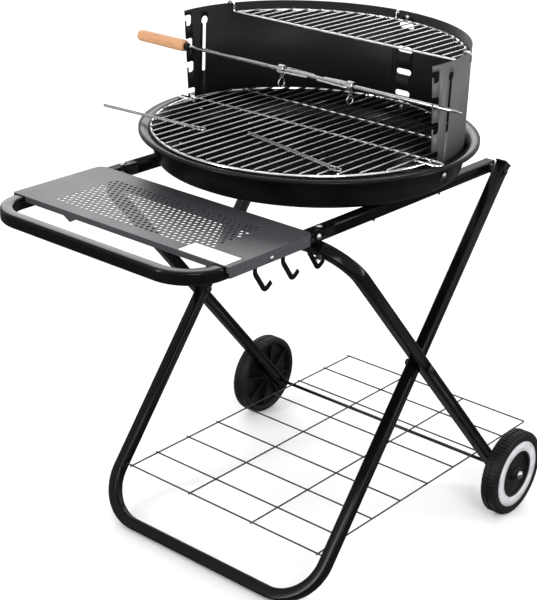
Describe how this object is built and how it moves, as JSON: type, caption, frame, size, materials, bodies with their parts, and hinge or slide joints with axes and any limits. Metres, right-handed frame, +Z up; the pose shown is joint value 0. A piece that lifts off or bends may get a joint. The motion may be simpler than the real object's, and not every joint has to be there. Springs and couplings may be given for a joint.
{
  "type": "charcoal grill trolley",
  "caption": "Round charcoal grill on a crossed-leg trolley, with half-round windscreen, rotisserie spit, warming rack, side table, tool hooks and wire shelf.",
  "frame": {"origin": "on the ground, under the middle of the overall box", "axes": "+Z up; +X from the handle end to the wheel end; +Y towards the side with the spit's wooden grip"},
  "size_m": [0.9266, 0.6672, 0.8474],
  "materials": {
    "black_gloss": "gloss",
    "black_enamel": "semi-gloss enamel",
    "grey_paint": "satin",
    "screen_grey": "semi-gloss",
    "chrome": "polished",
    "zinc": "bright zinc",
    "plastic": "fine-grained",
    "ring": "plain",
    "beech": "smooth, oiled"
  },
  "bodies": {
    "frame": {"foot_leg_frame": "black_gloss", "wheel_leg_frame": "black_gloss", "handle_loop": "black_gloss", "side_rail_near": "black_gloss", "side_rail_far": "black_gloss", "utensil_hook_1": "black_gloss", "utensil_hook_2": "black_gloss", "utensil_hook_3": "black_gloss", "fire_bowl": "black_enamel", "side_table": "grey_paint", "windscreen_near": "screen_grey", "windscreen_far": "screen_grey", "wire_shelf": "zinc", "wheel_axle": "zinc", "axle_cap_near": "zinc", "axle_cap_far": "zinc", "handle_bolt_near": "zinc", "handle_bolt_far": "zinc", "crossbar_bolt_near": "zinc", "crossbar_bolt_far": "zinc", "table_screw_near": "zinc", "table_screw_far": "zinc", "bowl_screw_near_front": "zinc", "bowl_screw_near_rear": "zinc", "bowl_screw_far_front": "zinc", "bowl_screw_far_rear": "zinc", "windscreen_screw_top": "zinc", "windscreen_screw_bottom": "zinc", "screen_screw_near": "zinc", "screen_screw_far": "zinc", "pivot_bolt_near": "plastic", "pivot_bolt_far": "plastic", "pivot_spacer_near": "plastic", "pivot_spacer_far": "plastic", "leg_top_spacer_near": "plastic", "leg_top_spacer_far": "plastic", "leg_top_bolt_near": "plastic", "leg_top_bolt_far": "plastic", "rail_end_cap_near": "plastic", "rail_end_cap_far": "plastic", "leg_top_plug_near": "plastic", "leg_top_plug_far": "plastic", "leg_foot_plug_near": "plastic", "leg_foot_plug_far": "plastic"},
    "wheel_near_body": {"wheel_near": "plastic", "wheel_ring_near": "ring"},
    "wheel_far_body": {"wheel_far": "plastic", "wheel_ring_far": "ring"},
    "spit": {"spit_rod": "chrome", "spit_handle": "beech", "spit_ferrule": "black_gloss"},
    "fork_left": {"spit_fork_left": "chrome"},
    "fork_right": {"spit_fork_right": "chrome"},
    "thumbscrew_left": {"fork_thumbscrew_left": "chrome"},
    "thumbscrew_right": {"fork_thumbscrew_right": "chrome"},
    "grate": {"cooking_grate": "chrome"},
    "rack": {"warming_rack": "chrome"},
    "skewer_a": {"skewer_left": "chrome"},
    "skewer_b": {"skewer_right": "chrome"}
  },
  "joints": [
    {"name": "wheel_spin_near", "type": "hinge", "parent": "frame", "child": "wheel_near_body", "pos_m": [0.2927, -0.3099, 0.0765], "axis": [0, 1, 0], "continuous": true},
    {"name": "wheel_spin_far", "type": "hinge", "parent": "frame", "child": "wheel_far_body", "pos_m": [0.2927, 0.2581, 0.0765], "axis": [0, 1, 0], "continuous": true},
    {"name": "spit_spin", "type": "hinge", "parent": "frame", "child": "spit", "pos_m": [0.0217, -0.0274, 0.7811], "axis": [0, 1, 0], "continuous": true},
    {"name": "fork_slide_left", "type": "slide", "parent": "spit", "child": "fork_left", "axis": [0, 1, 0], "range_m": [-0.017, 0.175]},
    {"name": "fork_slide_right", "type": "slide", "parent": "spit", "child": "fork_right", "axis": [0, 1, 0], "range_m": [-0.135, 0.017]},
    {"name": "thumbscrew_turn_left", "type": "hinge", "parent": "fork_left", "child": "thumbscrew_left", "pos_m": [0.0217, 0.0206, 0.7671], "axis": [0, 0, 1], "range_deg": [0, 180]},
    {"name": "thumbscrew_turn_right", "type": "hinge", "parent": "fork_right", "child": "thumbscrew_right", "pos_m": [0.0217, -0.1154, 0.7671], "axis": [0, 0, 1], "range_deg": [0, 180]},
    {"name": "grate_lift", "type": "slide", "parent": "frame", "child": "grate", "axis": [0, 0, 1], "range_m": [0, 0.012]},
    {"name": "rack_lift", "type": "slide", "parent": "frame", "child": "rack", "axis": [0, 0, 1], "range_m": [0, 0.06]},
    {"name": "skewer_lift_left", "type": "slide", "parent": "grate", "child": "skewer_a", "axis": [0, 0, 1], "range_m": [0, 0.05]},
    {"name": "skewer_lift_right", "type": "slide", "parent": "grate", "child": "skewer_b", "axis": [0, 0, 1], "range_m": [0, 0.05]}
  ]
}
